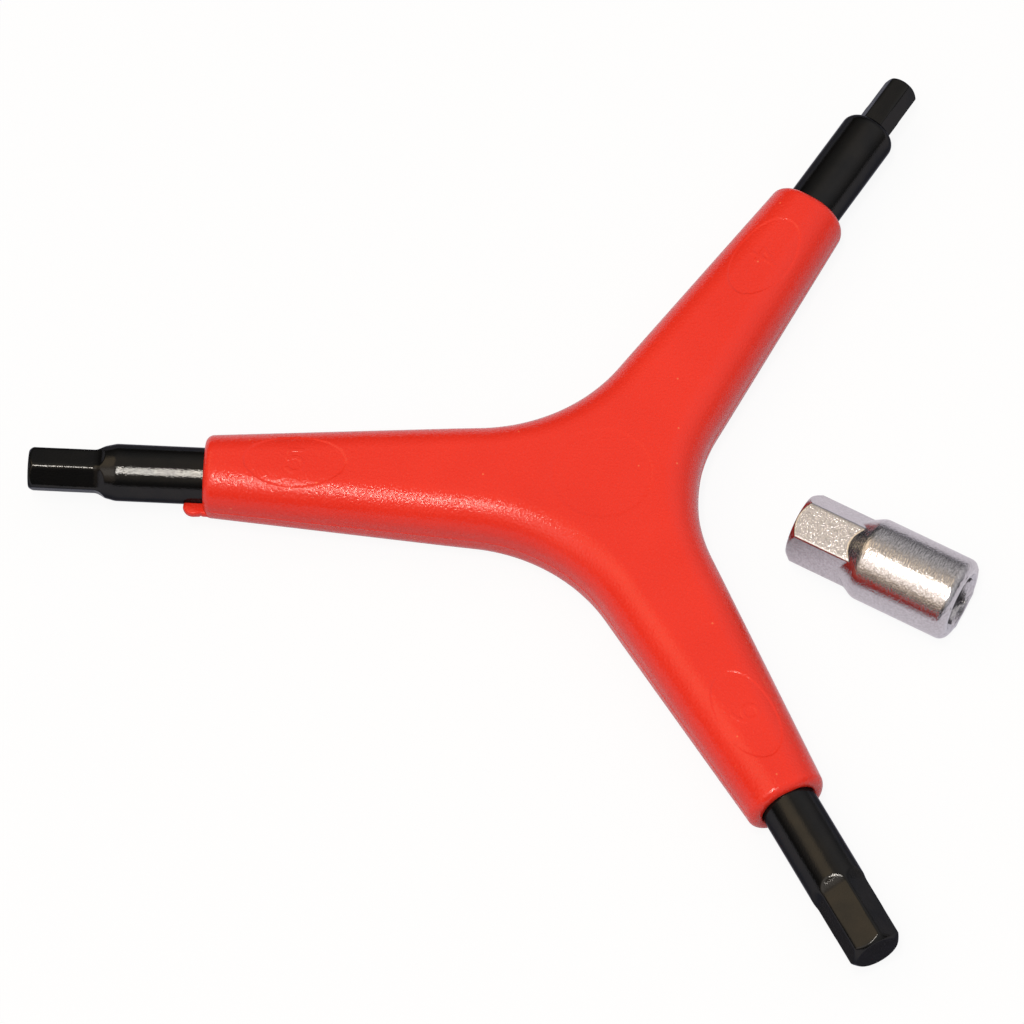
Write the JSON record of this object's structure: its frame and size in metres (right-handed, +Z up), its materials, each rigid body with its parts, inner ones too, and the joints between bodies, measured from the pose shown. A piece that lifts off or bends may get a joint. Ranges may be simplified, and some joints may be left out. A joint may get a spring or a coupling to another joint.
{
  "type": "y wrench",
  "caption": "Three-armed hex wrench: steel hex keys moulded into a rounded red handle, with a loose hex adapter lying beside it.",
  "frame": {"origin": "middle of the hub on the flat underside that the handle rests on", "axes": "+Z up out of the table, +Y out along the 4 mm arm, so the 5 mm arm lies at 210 degrees and the 6 mm arm at 330 degrees from +X"},
  "size_m": [0.124, 0.1082, 0.0105],
  "materials": {
    "handle_plastic": "satin, fine spark texture",
    "black_steel": "gloss black oxide",
    "nickel_steel": "satin nickel"
  },
  "bodies": {
    "wrench": {"handle": "handle_plastic", "hex_key_4mm": "black_steel", "hex_key_5mm": "black_steel", "hex_key_6mm": "black_steel"},
    "adapter": {"adapter_8mm": "nickel_steel"}
  },
  "joints": [
    {"name": "adapter_lift", "type": "slide", "parent": "wrench", "child": "adapter", "axis": [0, 0, 1], "range_m": [0, 0.06]}
  ]
}
